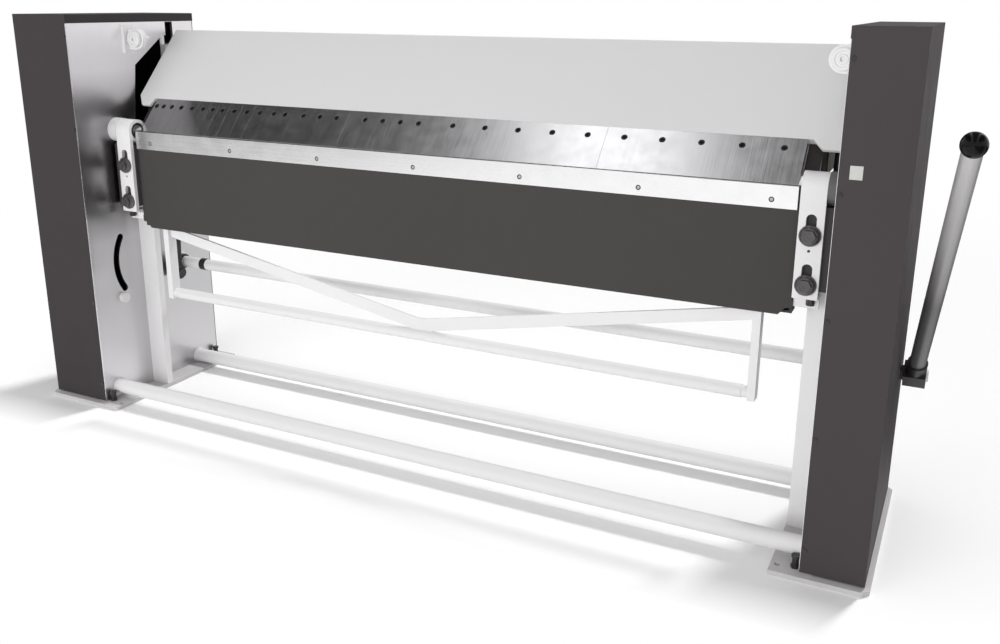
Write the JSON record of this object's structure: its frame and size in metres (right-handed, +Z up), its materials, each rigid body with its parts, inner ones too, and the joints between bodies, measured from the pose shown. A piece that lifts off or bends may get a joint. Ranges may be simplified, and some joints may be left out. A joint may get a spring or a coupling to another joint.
{
  "type": "box and pan brake",
  "caption": "Floor-standing manual folding machine with segmented clamping fingers, a lever-operated clamping beam and a swinging apron, for bending sheet metal.",
  "frame": {"origin": "on the floor, at the centre of the four anchor holes, midway between the columns", "axes": "+X along the fold line towards the lever side, -Y towards the operator, +Z up"},
  "size_m": [2.7852, 0.7527, 1.273],
  "materials": {
    "dark_enamel": "satin powder coat",
    "white_enamel": "semi-gloss enamel",
    "grey_enamel": "gloss enamel",
    "sheet_steel": "smooth sheet with a satin mirror",
    "ground_steel": "ground",
    "bright_steel": "bright drawn",
    "black_steel": "black oxide",
    "dark_steel": "hardened and turned",
    "black_plastic": "gloss"
  },
  "bodies": {
    "frame": {"base_plates": "grey_enamel", "side_plate_left": "sheet_steel", "side_plate_right": "sheet_steel", "cover_left": "dark_enamel", "cover_right": "dark_enamel", "cover_screws": "black_steel", "slot_bolt": "white_enamel", "levelling_bolts": "black_steel", "posts": "white_enamel", "tie_tubes": "white_enamel", "bed_beam": "white_enamel", "bed_blade": "ground_steel", "pivot_bearings": "white_enamel", "pivot_pins": "bright_steel", "shaft_bearings": "ground_steel", "stop_brackets": "white_enamel", "beam_guides": "ground_steel"},
    "bending_arms": {"arms": "white_enamel", "arm_feet": "white_enamel", "height_screws": "black_steel", "pivot_bushes": "dark_steel"},
    "apron_beam": {"apron": "dark_enamel", "apron_box": "dark_enamel", "apron_lugs": "dark_enamel", "bending_bar": "bright_steel", "bar_screws": "ground_steel", "truss_frame": "white_enamel"},
    "lock_knob_upper_left": {"lock_knob_upper_left": "black_steel"},
    "lock_knob_lower_left": {"lock_knob_lower_left": "black_steel"},
    "lock_knob_upper_right": {"lock_knob_upper_right": "black_steel"},
    "lock_knob_lower_right": {"lock_knob_lower_right": "black_steel"},
    "clamping_beam": {"clamping_beam": "white_enamel", "beam_pins": "bright_steel", "finger_01": "ground_steel", "finger_02": "ground_steel", "finger_03": "ground_steel", "finger_04": "ground_steel", "finger_05": "ground_steel", "finger_06": "ground_steel", "finger_07": "ground_steel", "finger_08": "ground_steel", "finger_09": "ground_steel", "finger_10": "ground_steel", "finger_11": "ground_steel", "finger_12": "ground_steel", "finger_13": "ground_steel", "finger_14": "ground_steel", "finger_15": "ground_steel", "finger_16": "ground_steel", "finger_screws": "black_steel"},
    "clamp_shaft": {"cross_shaft": "white_enamel", "cranks": "black_steel", "shaft_rings": "black_steel", "lever_hub": "black_steel", "lever_tube": "bright_steel", "lever_ball": "black_plastic"},
    "tie_rod_left": {"tie_rod_left": "black_steel"},
    "tie_rod_right": {"tie_rod_right": "black_steel"},
    "stop_screw_left": {"stop_screw_left": "white_enamel"},
    "stop_screw_right": {"stop_screw_right": "white_enamel"}
  },
  "joints": [
    {"name": "bend", "type": "hinge", "parent": "frame", "child": "bending_arms", "pos_m": [0, -0.11, 0.91], "axis": [-1, 0, 0], "range_deg": [0, 128]},
    {"name": "apron_height", "type": "slide", "parent": "bending_arms", "child": "apron_beam", "axis": [0, 0, 1], "range_m": [-0.01, 0]},
    {"name": "lock_knob_upper_left_turn", "type": "hinge", "parent": "apron_beam", "child": "lock_knob_upper_left", "pos_m": [-1.0716, -0.147, 0.802], "axis": [0, -1, 0], "range_deg": [0, 180]},
    {"name": "lock_knob_lower_left_turn", "type": "hinge", "parent": "apron_beam", "child": "lock_knob_lower_left", "pos_m": [-1.0716, -0.147, 0.684], "axis": [0, -1, 0], "range_deg": [0, 180]},
    {"name": "lock_knob_upper_right_turn", "type": "hinge", "parent": "apron_beam", "child": "lock_knob_upper_right", "pos_m": [1.0716, -0.147, 0.802], "axis": [0, -1, 0], "range_deg": [0, 180]},
    {"name": "lock_knob_lower_right_turn", "type": "hinge", "parent": "apron_beam", "child": "lock_knob_lower_right", "pos_m": [1.0716, -0.147, 0.684], "axis": [0, -1, 0], "range_deg": [0, 180]},
    {"name": "beam_lift", "type": "slide", "parent": "frame", "child": "clamping_beam", "axis": [0, 0, 1], "range_m": [0, 0.05965]},
    {"name": "clamp_lever", "type": "hinge", "parent": "frame", "child": "clamp_shaft", "pos_m": [0, 0.10502, 0.419], "axis": [-1, 0, 0], "range_deg": [0, 70]},
    {"name": "tie_rod_left_swing", "type": "hinge", "parent": "clamp_shaft", "child": "tie_rod_left", "pos_m": [-1.087, 0.06242, 0.38917], "axis": [-1, 0, 0], "range_deg": [-70, 0]},
    {"name": "tie_rod_right_swing", "type": "hinge", "parent": "clamp_shaft", "child": "tie_rod_right", "pos_m": [1.087, 0.06242, 0.38917], "axis": [-1, 0, 0], "range_deg": [-70, 0]},
    {"name": "stop_screw_left_turn", "type": "hinge", "parent": "frame", "child": "stop_screw_left", "pos_m": [-1.093, -0.04, 1.194], "axis": [0, -1, 0], "range_deg": [-360, 360]},
    {"name": "stop_screw_right_turn", "type": "hinge", "parent": "frame", "child": "stop_screw_right", "pos_m": [1.093, -0.04, 1.194], "axis": [0, -1, 0], "range_deg": [-360, 360]}
  ],
  "couplings": [
    {"joint": "clamp_lever", "follows": "beam_lift", "rad_per_m": 20.481},
    {"joint": "tie_rod_left_swing", "follows": "beam_lift", "rad_per_m": -20.481},
    {"joint": "tie_rod_right_swing", "follows": "beam_lift", "rad_per_m": -20.481}
  ]
}
